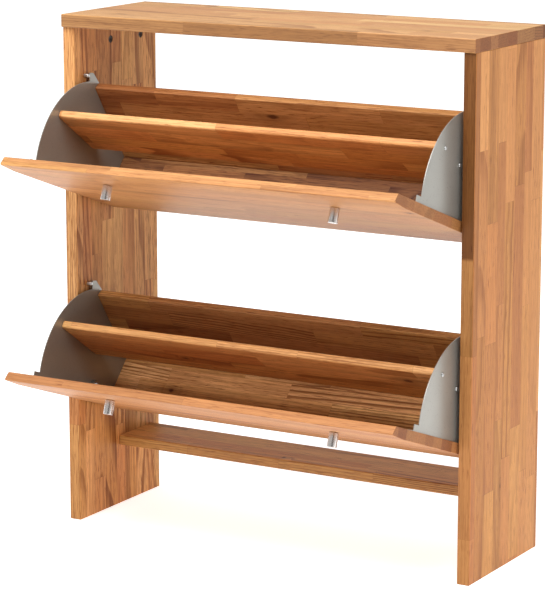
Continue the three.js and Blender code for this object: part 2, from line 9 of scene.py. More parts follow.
import json
import math
from types import SimpleNamespace

import bmesh
import bpy
from mathutils import Matrix, Vector


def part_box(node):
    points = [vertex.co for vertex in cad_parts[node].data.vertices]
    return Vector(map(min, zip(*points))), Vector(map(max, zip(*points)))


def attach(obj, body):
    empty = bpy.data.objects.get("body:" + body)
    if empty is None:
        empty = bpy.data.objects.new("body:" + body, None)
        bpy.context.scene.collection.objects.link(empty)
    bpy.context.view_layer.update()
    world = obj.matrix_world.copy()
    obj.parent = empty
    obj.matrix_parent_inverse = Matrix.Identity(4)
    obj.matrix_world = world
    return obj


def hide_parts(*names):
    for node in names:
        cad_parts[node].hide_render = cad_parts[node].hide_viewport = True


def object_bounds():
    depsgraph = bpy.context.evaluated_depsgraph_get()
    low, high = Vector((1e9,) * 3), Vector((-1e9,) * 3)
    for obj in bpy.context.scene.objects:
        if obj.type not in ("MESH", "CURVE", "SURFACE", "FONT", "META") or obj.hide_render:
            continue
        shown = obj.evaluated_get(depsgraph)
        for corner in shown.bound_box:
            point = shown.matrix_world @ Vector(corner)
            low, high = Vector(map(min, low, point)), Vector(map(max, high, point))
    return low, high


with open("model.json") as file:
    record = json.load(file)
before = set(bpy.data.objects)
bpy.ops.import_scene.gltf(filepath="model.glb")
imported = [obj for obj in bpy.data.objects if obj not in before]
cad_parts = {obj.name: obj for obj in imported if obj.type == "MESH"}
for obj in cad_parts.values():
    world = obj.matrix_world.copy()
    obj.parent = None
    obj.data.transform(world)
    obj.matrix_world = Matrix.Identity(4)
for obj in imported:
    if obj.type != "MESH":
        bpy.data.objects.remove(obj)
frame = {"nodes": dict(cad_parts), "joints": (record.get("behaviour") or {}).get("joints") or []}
cad_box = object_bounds()

MM = 0.001
NODES = frame["nodes"]
LEVELS = ("upper", "lower")
SIDES = (("left", -1), ("right", 1))

# Directions in the row frame
RIGHTWARD = (1, 0, 0)
BACKWARD = (0, 1, 0)
UPWARD = (0, 0, 1)

# Angles of the boards of a shut compartment, from +Y towards +Z. Open, they turn by the joint's range.
OPEN_ANGLE = frame["joints"][0]["range_deg"][1]
FRONT_ANGLE = 90.0
REAR_ANGLE = 53.5
FLOOR_ANGLE = 157.2
DIVIDER_ANGLE = 75.8

# Screws of the side plates, in millimetres: heights above the pivot on the flange, how far in from the
# flange's edge, how far the flange stands above the front panel, and shares of a board's depth
FLANGE_SCREWS = (-42.0, 70.0, 182.0)
FLANGE_SCREW_IN = 6.0
FLANGE_RISE = 1.8
BOARD_SCREWS = (0.2, 0.8)

# Turned fittings, in millimetres. A fitting ends in a flat disc, at least as wide as POLE.
POLE = 0.05
KNOB_FOOT = 0.8
KNOB_FOOT_IN = 0.9
KNOB_EASE = 0.7
SCREW_HEAD = 4.0
SCREW_HEAD_HIGH = 2.4
SCREW_SHANK = 2.0
PLATE_SCREW_HEAD = 3.4
PLATE_SCREW_HEAD_HIGH = 1.9
PLATE_SCREW_SHANK = 1.6
PLATE_SCREW_LONG = 13.0
SCREW_PITCH = 1.4
SCREW_TIP = 3.0
SCREW_PLAIN = 2.0
PIN_RADIUS = 4.0
PIN_THREAD = 12.0
PIN_PITCH = 0.8
PIN_THREAD_DEEP = 0.45
COLLAR_RADIUS = 8.0
COLLAR_THICK = 2.2
SHANK_RADIUS = 3.0
SHANK_LONG = 13.0
NUT_ACROSS = 13.0
NUT_SINK = 0.5
BORE_RADIUS = 4.3
SLEEVE_RADIUS = 5.7
SLEEVE_LONG = 2.3
FLANGE_RADIUS = 9.0
STOP_RADIUS = 4.0
CAM_RADIUS = 7.2
CAM_RIM = 1.1
CAM_SUNK = 0.5
RECESS_REACH = 0.35  # a recess floor's share of the reach and the width at its mouth
RECESS_WIDTH = 0.805

# Weld reach in metres, angles that tell soft edges from sharp ones, and eased widths in millimetres
WELD_REACH = 0.00001
SMOOTH_BELOW = math.radians(40)
SOFT_BELOW = math.radians(48)
EASE_ABOVE = math.radians(50)
PLATE_EASE = 0.25
DOWEL_EASE = 0.4

# Laminated wood: staves in rows, butted end to end, in metres. SWAY is how far the edge of a row
# wanders and DRIFT how far a butt joint does, in staves; the DRAW vectors make the random numbers of
# one purpose differ from those of another.
STAVE_WIDTH = 0.037
STAVE_SHORTEST = 0.20
STAVE_SPREAD = 0.34
SWAY = 0.11
SWAY_RATE = 61.0
DRIFT = 0.2
DRIFT_RATE = 2.3
SEED_SHIFT = 0.37
RUN_STARTS = 9.0
ROW_DRAW = 5.0
LOG_DRAW = (31.7, 3.1, 7.7)
KNOT_DRAW = (3.3, 57.1, 1.9)
RING_DRAW = (71.9, 23.3, 9.1)
STAVE_SHIFT = 0.731

# Its knots and annual rings, in metres
KNOT_FREE = 0.93  # share of the staves without a knot
KNOT_SMALLEST = 0.0028
KNOT_SPREAD = 0.004
KNOT_WOBBLE = 0.0022
KNOT_SQUEEZE = 0.6  # makes a knot longer along the grain
PITH_NEAREST = 0.014
PITH_SPREAD = 0.11
RING_NARROWEST = 0.0026
RING_SPREAD = 0.0030
RING_WAVE = 0.006
RING_LEAN = 0.05
LATE_FAINTEST = 0.05
LATE_SPREAD = 0.26

# Its noise scales along the grain, across it and through the board, per metre
WAVE_SCALE = (3.4, 15.0, 15.0)
STREAK_SCALE = (4.5, 230.0, 230.0)
FIBRE_SCALE = (16.0, 800.0, 800.0)
PORE_SCALE = (36.0, 900.0, 900.0)
BAND_SCALE = (1.7, 36.0, 36.0)
END_PORE_SCALE = 1500.0
KNOT_SCALE = 160.0

# How strongly each part of the grain shows, and the glue lines' widths in metres
STREAK_DEPTH = 0.65
FIBRE_DEPTH = 0.45
PORE_DEPTH = 0.34
HEART_FREE = 0.80  # share of the staves without heartwood
HEART_DEPTH = 0.4
HALO_DEPTH = 0.35
KNOT_DEPTH = 0.85
GLUE_DEPTH = 0.3
SIDE_GLUE = 0.0005
SIDE_GLUE_SHARE = 0.35
BUTT_GLUE = 0.0008

# Flap boards are cut from staves of their own on each level
FLAP_SEED = 41.0
LEVEL_SEEDS = 8

# Camera, at the photograph's viewing angle
EYE = Vector((2.5293, -4.3231, 1.5229))
LOOK_TURN = math.radians(30.2006)
LOOK_DOWN = math.radians(11.7165)
LENS = 163.78
SENSOR = 36.0
FARTHEST = 200.0

# Glowing floor, white studio all round, the dim side of the studio behind the camera (from and to a
# cosine of the angle from the camera), and one softbox placed from the cabinet's middle
FLOOR_GLOW = 0.74
FLOOR_REACH = 30.0
FLOOR_STEPS = 24
STUDIO_WHITE = 0.60
STUDIO_DIM = 0.1
DIM_FROM = 0.91
DIM_TO = 0.985
KEY_PLACE = Vector((0.2, -1.85, 3.0))
KEY_SIZE = (2.8, 2.2)
KEY_POWER = 185.0


def srgb(red, green, blue):
    """Linear colour of three 0 to 255 display values."""
    linear = []
    for value in (red, green, blue):
        share = value / 255
        linear.append(share / 12.92 if share <= 0.04045 else ((share + 0.055) / 1.055) ** 2.4)
    return (*linear, 1.0)


# ---- Node graphs ------------------------------------------------------------------------------


class Graph:
    """Adds nodes to a tree. A value is a socket to link or a plain number, tuple or colour to set."""

    def __init__(self, tree):
        self.tree = tree

    def feed(self, socket, value):
        if isinstance(value, bpy.types.NodeSocket):
            self.tree.links.new(value, socket)
        else:
            socket.default_value = value

    def add(self, kind, values=None, **settings):
        node = self.tree.nodes.new(kind)
        for key, value in settings.items():
            setattr(node, key, value)
        for key, value in (values or {}).items():
            self.feed(node.inputs[key], value)
        return node

    def math(self, operation, *values, clamp=False):
        node = self.add("ShaderNodeMath", operation=operation, use_clamp=clamp)
        for socket, value in zip(node.inputs, values):
            self.feed(socket, value)
        return node.outputs[0]

    def centred(self, value):
        """A value from 0 to 1 moved to lie about zero."""
        return self.math("SUBTRACT", value, 0.5)

    def vector(self, operation, *values):
        node = self.add("ShaderNodeVectorMath", operation=operation)
        for socket, value in zip(node.inputs, values):
            self.feed(socket, value)
        scalar = operation in ("DOT_PRODUCT", "LENGTH", "DISTANCE")
        return node.outputs["Value" if scalar else "Vector"]

    def scaled(self, vector, factor):
        node = self.add("ShaderNodeVectorMath", {"Vector": vector, "Scale": factor}, operation="SCALE")
        return node.outputs["Vector"]

    def join(self, x, y, z):
        return self.add("ShaderNodeCombineXYZ", {"X": x, "Y": y, "Z": z}).outputs[0]

    def split(self, vector):
        return tuple(self.add("ShaderNodeSeparateXYZ", {"Vector": vector}).outputs)

    def dice(self, vector):
        """Three random numbers from 0 to 1, the same wherever the vector is the same."""
        white = self.add("ShaderNodeTexWhiteNoise", {"Vector": vector}, noise_dimensions="3D")
        return tuple(self.add("ShaderNodeSeparateColor", {"Color": white.outputs["Color"]}).outputs)

    def noise(self, vector, scale=1.0, detail=3.0, roughness=0.5):
        values = {"Vector": vector, "Scale": scale, "Detail": detail, "Roughness": roughness}
        return self.add("ShaderNodeTexNoise", values, noise_dimensions="3D").outputs["Fac"]

    def grain(self, place, scales, detail, roughness=0.5):
        """Noise with its own scale along each axis."""
        return self.noise(self.vector("MULTIPLY", place, scales), detail=detail, roughness=roughness)

    def rise(self, value, low, high, to_low=0.0, to_high=1.0):
        """Smooth step from to_low at low to to_high at high."""
        node = self.add("ShaderNodeMapRange", interpolation_type="SMOOTHSTEP")
        for socket, setting in zip(node.inputs, (value, low, high, to_low, to_high)):
            self.feed(socket, setting)
        return node.outputs[0]

    def mix(self, share, first, second, blend="MIX"):
        node = self.add("ShaderNodeMix", data_type="RGBA", blend_type=blend, clamp_factor=True)
        self.feed(node.inputs[0], share)
        self.feed(node.inputs[6], first)
        self.feed(node.inputs[7], second)
        return node.outputs[2]

    def tinted(self, colour, tint, share=1.0):
        """The colour multiplied by a tint, by a share of it."""
        return self.mix(share, colour, tint, "MULTIPLY")

    def ramp(self, value, *stops):
        node = self.add("ShaderNodeValToRGB", {"Fac": value})
        elements = node.color_ramp.elements
        elements[0].position, elements[0].color = stops[0]
        elements[1].position, elements[1].color = stops[-1]
        for position, colour in stops[1:-1]:
            elements.new(position).color = colour
        return node.outputs["Color"]

    def finish(self, shader, colour, roughness, height, distance, strength):
        """Feeds the shader its colour and roughness, and a bump of a height in metres."""
        values = {"Height": height, "Distance": distance, "Strength": strength}
        self.feed(shader.inputs["Base Color"], colour)
        self.feed(shader.inputs["Roughness"], roughness)
        self.feed(shader.inputs["Normal"], self.add("ShaderNodeBump", values).outputs["Normal"])


def new_material(name, metallic=0.0):
    """A material with an empty Principled shader: itself, its graph and its shader node."""
    material = bpy.data.materials.new(name)
    material.use_nodes = True
    shader = next(n for n in material.node_tree.nodes if n.type == "BSDF_PRINCIPLED")
    shader.inputs["Metallic"].default_value = metallic
    return material, Graph(material.node_tree), shader


def object_place(graph):
    return graph.add("ShaderNodeTexCoord").outputs["Object"]


# ---- Wood -------------------------------------------------------------------------------------

STAVE_TONES = (
    (0.00, srgb(166, 108, 63)),
    (0.18, srgb(185, 125, 75)),
    (0.42, srgb(197, 138, 84)),
    (0.64, srgb(205, 146, 90)),
    (0.84, srgb(212, 155, 97)),
    (1.00, srgb(223, 170, 112)),
)

# Tints that parts of the grain are multiplied by
WARM_TINT = srgb(255, 238, 228)
HONEY_TINT = srgb(250, 253, 232)
HEART_TINT = srgb(160, 142, 120)
GRAIN_TINT = srgb(184, 148, 112)
END_TINT = srgb(204, 178, 163)
KNOT_TINT = srgb(112, 74, 48)

# Tints that whole boards are multiplied by, and tints that their front faces are multiplied by as
# painted light and shade
WHITE = srgb(255, 255, 255)
COOL = srgb(244, 250, 255)
PALE = srgb(238, 249, 255)
RUDDY = srgb(255, 248, 240)
GOLDEN = srgb(255, 253, 243)
AMBER = srgb(255, 247, 222)
EDGE_SHADING_CYAN = srgb(234, 250, 255)
EDGE_SHADING_BLUE = srgb(240, 242, 252)
DUSKY = srgb(190, 189, 186)


def stave_layout(graph, along, across, seed):
    """Rows of staves, and the butt joints along each row. rows and run count staves across and along,
    the shares are the place within one, and key is a vector that differs from stave to stave."""
    sway = graph.math("SINE", graph.math("MULTIPLY_ADD", across, SWAY_RATE, seed))
    rows = graph.math("DIVIDE", across, STAVE_WIDTH)
    rows = graph.math("ADD", rows, graph.math("MULTIPLY", sway, SWAY))
    rows = graph.math("ADD", rows, graph.math("MULTIPLY", seed, SEED_SHIFT))
    row = graph.math("FLOOR", rows)
    row_length, row_start, _ = graph.dice(graph.join(row, seed, ROW_DRAW))
    length = graph.math("MULTIPLY_ADD", row_length, STAVE_SPREAD, STAVE_SHORTEST)
    run = graph.math("DIVIDE", along, length)
    run = graph.math("ADD", run, graph.math("MULTIPLY", row_start, RUN_STARTS))
    drift = graph.math("SINE", graph.math("MULTIPLY", run, DRIFT_RATE))
    run = graph.math("MULTIPLY_ADD", drift, DRIFT, run)
    cell = graph.math("FLOOR", run)
    return SimpleNamespace(
        rows=rows,
        run=run,
        length=length,
        row_share=graph.math("SUBTRACT", rows, row),
        cell_share=graph.math("SUBTRACT", run, cell),
        key=graph.join(row, cell, seed),
    )


def knot_fields(graph, stave, own, size):
    """Where a knot is, and a wider halo round it. A few staves hold one."""
    chance, along, across = graph.dice(graph.vector("ADD", stave.key, KNOT_DRAW))
    beside = graph.math("MULTIPLY", graph.math("SUBTRACT", stave.row_share, across), STAVE_WIDTH)
    beyond = graph.math("MULTIPLY", graph.math("SUBTRACT", stave.cell_share, along), stave.length)
    away = graph.join(graph.math("MULTIPLY", beyond, KNOT_SQUEEZE), beside, 0.0)
    wobble = graph.math("MULTIPLY", graph.noise(own, KNOT_SCALE, 2.0), KNOT_WOBBLE)
    away = graph.math("ADD", graph.vector("LENGTH", away), wobble)
    holds_knot = graph.math("GREATER_THAN", chance, KNOT_FREE)
    near = graph.math("DIVIDE", away, graph.math("MULTIPLY_ADD", size, KNOT_SPREAD, KNOT_SMALLEST))
    knot = graph.math("MULTIPLY", graph.rise(near, 1.25, 0.55), holds_knot)
    halo = graph.math("MULTIPLY", graph.rise(near, 4.5, 0.5), holds_knot)
    return knot, halo


def annual_rings(graph, stave, own, through, halo, log, figure):
    """Place within a ring, and how dark the late wood is. The radius is measured from the stave's own
    pith, with a lean along the board and slow waves, and it swings round a knot."""
    log_turn, log_reach, ring_size = log
    strength, lean, _ = graph.dice(graph.vector("ADD", stave.key, RING_DRAW))
    turn = graph.math("MULTIPLY", log_turn, math.tau)
    reach = graph.math("MULTIPLY_ADD", log_reach, PITH_SPREAD, PITH_NEAREST)
    pith_across = graph.math("MULTIPLY", graph.math("COSINE", turn), reach)
    pith_through = graph.math("MULTIPLY", graph.math("SINE", turn), reach)
    in_stave = graph.math("MULTIPLY", graph.centred(stave.row_share), STAVE_WIDTH)
    gap_across = graph.math("SUBTRACT", in_stave, pith_across)
    gap_through = graph.math("SUBTRACT", through, pith_through)
    radius = graph.vector("LENGTH", graph.join(gap_across, gap_through, 0.0))
    wave = graph.centred(graph.grain(own, WAVE_SCALE, 2.0))
    radius = graph.math("MULTIPLY_ADD", wave, RING_WAVE, radius)
    slope = graph.math("MULTIPLY", graph.centred(lean), RING_LEAN)
    in_length = graph.math("MULTIPLY", stave.cell_share, stave.length)
    radius = graph.math("MULTIPLY_ADD", in_length, slope, radius)
    radius = graph.math("MULTIPLY_ADD", halo, RING_WAVE, radius)
    spacing = graph.math("MULTIPLY_ADD", ring_size, RING_SPREAD, RING_NARROWEST)
    ring_share = graph.math("FRACT", graph.math("DIVIDE", radius, spacing))
    late = graph.rise(ring_share, 0.40, 0.90)
    late = graph.math("MULTIPLY", late, graph.rise(ring_share, 1.0, 0.93))
    strong = graph.math("POWER", strength, graph.math("DIVIDE", 3.0, figure))
    depth = graph.math("MULTIPLY_ADD", strong, LATE_SPREAD, LATE_FAINTEST)
    return ring_share, graph.math("MULTIPLY", late, graph.math("MULTIPLY", depth, figure))


def stave_colour(graph, stave, given, band):
    """Colour of a stave before its grain shows."""
    tone, tint, heart_chance = graph.dice(stave.key)
    spread = graph.math("MULTIPLY_ADD", given["End"], 0.5, given["Spread"])
    tone = graph.math("MULTIPLY_ADD", graph.centred(tone), spread, given["Tone"])
    colour = graph.ramp(tone, *STAVE_TONES)
    colour = graph.tinted(colour, WARM_TINT, graph.rise(tint, 0.45, 1.0, 0.0, 0.42))
    colour = graph.tinted(colour, HONEY_TINT, graph.rise(tint, 0.5, 0.0, 0.0, 0.6))
    is_heart = graph.math("GREATER_THAN", heart_chance, HEART_FREE)
    heartwood_and_shade = graph.math("MULTIPLY", graph.rise(band, 0.46, 0.66), is_heart)
    heartwood_and_shade = graph.math("MULTIPLY", heartwood_and_shade, HEART_DEPTH)
    # The board's heartwood input adds heartwood tint in broad bands: partly heartwood, partly painted
    # shade on the faces that look against the width
    whole_band = graph.rise(band, 0.3, 0.6, 0.8, 1.1)
    front_heartwood_and_shade = graph.math("MULTIPLY", given["HeartwoodAndShade"], whole_band, clamp=True)
    return graph.tinted(colour, HEART_TINT, graph.math("MAXIMUM", heartwood_and_shade, front_heartwood_and_shade))


def stave_wood_group():
    """Laminated wood of staves. Place is metres along the grain, across it and through the board; End
    is 1 on end grain; the heartwood input adds heartwood tint in broad bands and strengthens the grain,
    and on the faces that look against the width it is painted light and shade, partly heartwood; Tone
    and Spread set how light the staves are and how much they differ, and Figure how strong the grain is.
    rings run through its thickness."""
    tree = bpy.data.node_groups.new("stave_wood", "ShaderNodeTree")
    tree.interface.new_socket("Place", in_out="INPUT", socket_type="NodeSocketVector")
    for name in ("Seed", "End", "HeartwoodAndShade", "Tone", "Spread", "Figure"):
        tree.interface.new_socket(name, in_out="INPUT", socket_type="NodeSocketFloat")
    tree.interface.new_socket("Color", in_out="OUTPUT", socket_type="NodeSocketColor")
    for name in ("Roughness", "Height"):
        tree.interface.new_socket(name, in_out="OUTPUT", socket_type="NodeSocketFloat")
    graph = Graph(tree)
    given = tree.nodes.new("NodeGroupInput").outputs
    result = tree.nodes.new("NodeGroupOutput").inputs
    along, across, through = graph.split(given["Place"])
    stave = stave_layout(graph, along, across, given["Seed"])
    own = graph.vector("ADD", given["Place"], graph.scaled(stave.key, STAVE_SHIFT))
    log = graph.dice(graph.vector("ADD", stave.key, LOG_DRAW))
    knot, halo = knot_fields(graph, stave, own, log[2])
    figure = graph.math("ADD", given["Figure"], given["HeartwoodAndShade"])
    ring_share, late = annual_rings(graph, stave, own, through, halo, log, figure)

    # Straight fibre: broad streaks, fine streaks and long fine pores, most of them in the early wood
    streak = graph.grain(own, STREAK_SCALE, 4.0, 0.75)
    fibre = graph.grain(own, FIBRE_SCALE, 3.0, 0.65)
    pores = graph.rise(graph.grain(own, PORE_SCALE, 1.5), 0.56, 0.68)
    pores = graph.math("MULTIPLY", pores, graph.rise(ring_share, 0.65, 0.15, 0.35, 1.0))
    band = graph.grain(own, BAND_SCALE, 2.0)

    # The grain darkens the stave's colour and warms it where it is darkest
    colour = stave_colour(graph, stave, given, band)
    marks = graph.math("MULTIPLY", graph.centred(streak), STREAK_DEPTH)
    marks = graph.math("MULTIPLY_ADD", graph.centred(fibre), FIBRE_DEPTH, marks)
    marks = graph.math("MULTIPLY_ADD", pores, -PORE_DEPTH, marks)
    marks = graph.math("MULTIPLY_ADD", marks, graph.math("MAXIMUM", given["Figure"], 1.0), 1.0)
    shade = graph.math("SUBTRACT", marks, late)
    colour = graph.mix(graph.rise(shade, 1.15, 0.45), colour, graph.tinted(colour, GRAIN_TINT))
    lit = graph.math("MULTIPLY_ADD", graph.math("SUBTRACT", shade, 1.0), 0.55, 1.0)
    colour = graph.vector("MULTIPLY", colour, graph.join(lit, lit, lit))
    colour = graph.tinted(colour, HEART_TINT, graph.math("MULTIPLY", halo, HALO_DEPTH))
    colour = graph.tinted(colour, KNOT_TINT, graph.math("MULTIPLY", knot, KNOT_DEPTH))

    # Glue lines: barely seen along a stave, a little darker at a butt joint
    from_side = graph.math("MULTIPLY", graph.math("PINGPONG", stave.rows, 0.5), STAVE_WIDTH)
    from_butt = graph.math("MULTIPLY", graph.math("PINGPONG", stave.run, 0.5), stave.length)
    side_glue = graph.rise(from_side, SIDE_GLUE, 0.0, 0.0, SIDE_GLUE_SHARE)
    glue = graph.math("MAXIMUM", side_glue, graph.rise(from_butt, BUTT_GLUE, 0.0))
    colour = graph.tinted(colour, HEART_TINT, graph.math("MULTIPLY", glue, GLUE_DEPTH))

    # End grain drinks more oil, so it is darker and duller, with open pores
    pore = graph.rise(graph.noise(given["Place"], END_PORE_SCALE, 1.0), 0.56, 0.72)
    end_colour = graph.tinted(colour, END_TINT)
    end_colour = graph.tinted(end_colour, HEART_TINT, graph.math("MULTIPLY", pore, 0.3))
    graph.feed(result["Color"], graph.mix(given["End"], colour, end_colour))

    rough = graph.math("MULTIPLY_ADD", streak, 0.14, 0.37)
    rough = graph.math("MULTIPLY_ADD", fibre, 0.08, rough)
    rough = graph.math("MULTIPLY_ADD", given["End"], 0.2, rough)
    graph.feed(result["Roughness"], rough)
    height = graph.math("MULTIPLY_ADD", late, -0.6, graph.math("MULTIPLY", fibre, 0.35))
    height = graph.math("MULTIPLY_ADD", pores, -0.5, height)
    height = graph.math("MULTIPLY_ADD", glue, -0.5, height)
    height = graph.math("MULTIPLY_ADD", knot, 0.25, height)
    graph.feed(result["Height"], height)
    return tree


STAVE_WOOD = stave_wood_group()


def board_wood(name, grain, width, seed, tone=0.5, spread=0.8, figure=1.0, gloss=0.3, tint=WHITE,
               edge_shading_tone=0.0, edge_shading_tint=WHITE, heartwood_and_shade=0.0, heartwood_and_shade_from=-9.0, end_depth=1.0):
    """Oiled laminated wood for one board: grain and width are directions in the row frame at rest.
    tint is a colour that the whole board is multiplied by. On the face that looks against the width
    direction the staves are lighter by the edge tone and multiplied by the edge tint, and the heartwood
    amount darkens them with heartwood tint onwards from where it starts along the grain: painted light
    and shade on that face, the heartwood tint partly real heartwood. end_depth is how dark the end grain
    gets."""
    along_axis = Vector(grain)
    across_axis = Vector(width)
    axes = (along_axis, across_axis, along_axis.cross(across_axis))
    material, graph, shader = new_material(name)
    coordinates = graph.add("ShaderNodeTexCoord").outputs
    place = [graph.vector("DOT_PRODUCT", coordinates["Object"], tuple(axis)) for axis in axes]
    facing = graph.vector("DOT_PRODUCT", coordinates["Normal"], tuple(along_axis))
    end = graph.rise(graph.math("ABSOLUTE", facing), 0.55, 0.95, 0.0, end_depth)
    # Painted light and shade on the face that looks against the width: its own tone, tint and heartwood
    # tint, the last partly real heartwood
    edge = graph.vector("DOT_PRODUCT", coordinates["Normal"], tuple(-across_axis))
    edge = graph.rise(edge, 0.6, 0.9)
    heartwood_and_shade_reach = graph.rise(place[0], heartwood_and_shade_from, heartwood_and_shade_from + 0.01, 0.1, 1.0)
    values = {
        "Place": graph.join(*place),
        "Seed": seed,
        "End": end,
        "HeartwoodAndShade": graph.math("MULTIPLY", graph.math("MULTIPLY", edge, heartwood_and_shade), heartwood_and_shade_reach),
        "Tone": graph.math("MULTIPLY_ADD", edge, edge_shading_tone, tone),
        "Spread": spread,
        "Figure": figure,
    }
    staves = graph.add("ShaderNodeGroup", node_tree=STAVE_WOOD)
    for key, value in values.items():
        graph.feed(staves.inputs[key], value)
    colour = graph.tinted(staves.outputs["Color"], tint)
    colour = graph.tinted(colour, edge_shading_tint, edge)
    shader.inputs["Specular IOR Level"].default_value = gloss
    graph.finish(shader, colour, staves.outputs["Roughness"], staves.outputs["Height"], 0.0003, 0.6)
    return material


def dowel_wood():
    """Raw beech with straight fibre along the dowel, which lies along X."""
    material, graph, shader = new_material("dowel_wood")
    fibre = graph.grain(object_place(graph), (40.0, 900.0, 900.0), 4.0, 0.6)
    colour = graph.ramp(fibre, (0.3, srgb(196, 158, 116)), (0.7, srgb(226, 194, 150)))
    roughness = graph.math("MULTIPLY_ADD", fibre, 0.2, 0.6)
    graph.finish(shader, colour, roughness, fibre, 0.0002, 0.5)
    return material


# ---- Metal and plastic ------------------------------------------------------------------------


def painted_steel():
    """Satin silver-grey lacquer on steel, faintly cloudy, with a slight orange peel."""
    material, graph, shader = new_material("painted_steel", metallic=0.45)
    place = object_place(graph)
    peel = graph.noise(place, scale=650.0, detail=2.0, roughness=0.45)
    cloud = graph.noise(place, scale=9.0)
    tone = graph.math("MULTIPLY_ADD", graph.centred(peel), 0.3, cloud)
    colour = graph.ramp(tone, (0.25, srgb(148, 146, 139)), (0.75, srgb(162, 160, 153)))
    roughness = graph.math("MULTIPLY_ADD", peel, 0.12, 0.24)
    graph.finish(shader, colour, roughness, peel, 0.00004, 0.3)
    return material


def bright_steel():
    """Zinc-plated steel: a soft crystalline cloud and fine drawing marks."""
    material, graph, shader = new_material("bright_steel", metallic=1.0)
    place = object_place(graph)
    cloud = graph.noise(place, scale=380.0, detail=4.0, roughness=0.6)
    marks = graph.grain(place, (250.0, 3200.0, 3200.0), 2.0)
    colour = graph.ramp(cloud, (0.3, srgb(176, 178, 180)), (0.7, srgb(208, 208, 204)))
    roughness = graph.math("MULTIPLY_ADD", cloud, 0.14, 0.18)
    roughness = graph.math("MULTIPLY_ADD", marks, 0.16, roughness)
    graph.finish(shader, colour, roughness, marks, 0.00004, 0.5)
    return material


def brushed_aluminium():
    """Anodised aluminium, brushed along the knob's axis, which is the piece's own Z."""
    material, graph, shader = new_material("brushed_aluminium", metallic=1.0)
    place = object_place(graph)
    brushed = graph.grain(place, (2600.0, 2600.0, 120.0), 3.0, 0.6)
    turned_lines = graph.grain(place, (60.0, 60.0, 5200.0), 2.0)
    lines = graph.math("MULTIPLY", brushed, 0.65)
    lines = graph.math("MULTIPLY_ADD", turned_lines, 0.35, lines)
    colour = graph.ramp(lines, (0.3, srgb(196, 190, 186)), (0.7, srgb(226, 222, 218)))
    roughness = graph.math("MULTIPLY_ADD", lines, 0.16, 0.16)
    graph.finish(shader, colour, roughness, lines, 0.00002, 0.4)
    return material


def cast_zinc():
    """Dark die-cast zinc with a grainy skin."""
    material, graph, shader = new_material("cast_zinc", metallic=0.5)
    skin = graph.noise(object_place(graph), scale=1400.0, detail=4.0, roughness=0.6)
    colour = graph.ramp(skin, (0.3, srgb(42, 33, 26)), (0.7, srgb(70, 56, 45)))
    roughness = graph.math("MULTIPLY_ADD", skin, 0.25, 0.38)
    graph.finish(shader, colour, roughness, skin, 0.00012, 0.6)
    return material


def black_plastic():
    """Moulded nylon with a faint spark texture."""
    material, graph, shader = new_material("black_plastic")
    spark = graph.noise(object_place(graph), scale=2400.0, roughness=0.55)
    colour = graph.ramp(spark, (0.3, srgb(34, 34, 35)), (0.7, srgb(52, 52, 52)))
    roughness = graph.math("MULTIPLY_ADD", spark, 0.2, 0.42)
    graph.finish(shader, colour, roughness, spark, 0.0001, 0.4)
    return material


MATERIALS = {
    "dowel_wood": dowel_wood(),
    "painted_steel": painted_steel(),
    "bright_steel": bright_steel(),
    "brushed_aluminium": brushed_aluminium(),
    "cast_zinc": cast_zinc(),
    "black_plastic": black_plastic(),
}


def coat(obj, material):
    obj.data.materials.clear()
    obj.data.materials.append(material)


# ---- CAD nodes that stay ----------------------------------------------------------------------


def soft_shading_group():
    """Welded faces shaded smooth, except across sharp edges."""
    tree = bpy.data.node_groups.new("soft_shading", "GeometryNodeTree")
    tree.interface.new_socket("Geometry", in_out="INPUT", socket_type="NodeSocketGeometry")
    tree.interface.new_socket("Geometry", in_out="OUTPUT", socket_type="NodeSocketGeometry")
    graph = Graph(tree)
    given = tree.nodes.new("NodeGroupInput").outputs[0]
    result = tree.nodes.new("NodeGroupOutput").inputs[0]
    values = {"Geometry": given, "Name": "custom_normal"}
    bare = graph.add("GeometryNodeRemoveAttribute", values).outputs[0]
    values = {"Geometry": bare, "Shade Smooth": True}
    smooth = graph.add("GeometryNodeSetShadeSmooth", values, domain="FACE").outputs[0]
    bend = graph.add("GeometryNodeInputMeshEdgeAngle").outputs["Unsigned Angle"]
    values = {"A": bend, "B": SOFT_BELOW}
    gentle = graph.add("FunctionNodeCompare", values, operation="LESS_THAN").outputs[0]
    values = {"Geometry": smooth, "Shade Smooth": gentle}
    edges = graph.add("GeometryNodeSetShadeSmooth", values, domain="EDGE").outputs[0]
    graph.feed(result, edges)
    return tree


SOFT_SHADING = soft_shading_group()


def refine(obj, bevel=0.0):
    """Welds the imported faces, eases sharp edges if asked, and shades the curves smooth."""
    weld = obj.modifiers.new("weld", "WELD")
    weld.merge_threshold = WELD_REACH
    if bevel > 0:
        ease = obj.modifiers.new("ease", "BEVEL")
        ease.width = bevel * MM
        ease.segments = 2
        ease.limit_method = "ANGLE"
        ease.angle_limit = EASE_ABOVE
        ease.use_clamp_overlap = True
    shade = obj.modifiers.new("shade", "NODES")
    shade.node_group = SOFT_SHADING
    normals = obj.modifiers.new("normals", "WEIGHTED_NORMAL")
    normals.weight = 80
    normals.keep_sharp = True


def in_plane(angle):
    """Direction in the YZ plane at an angle from +Y towards +Z, in degrees."""
    return (0.0, math.cos(math.radians(angle)), math.sin(math.radians(angle)))


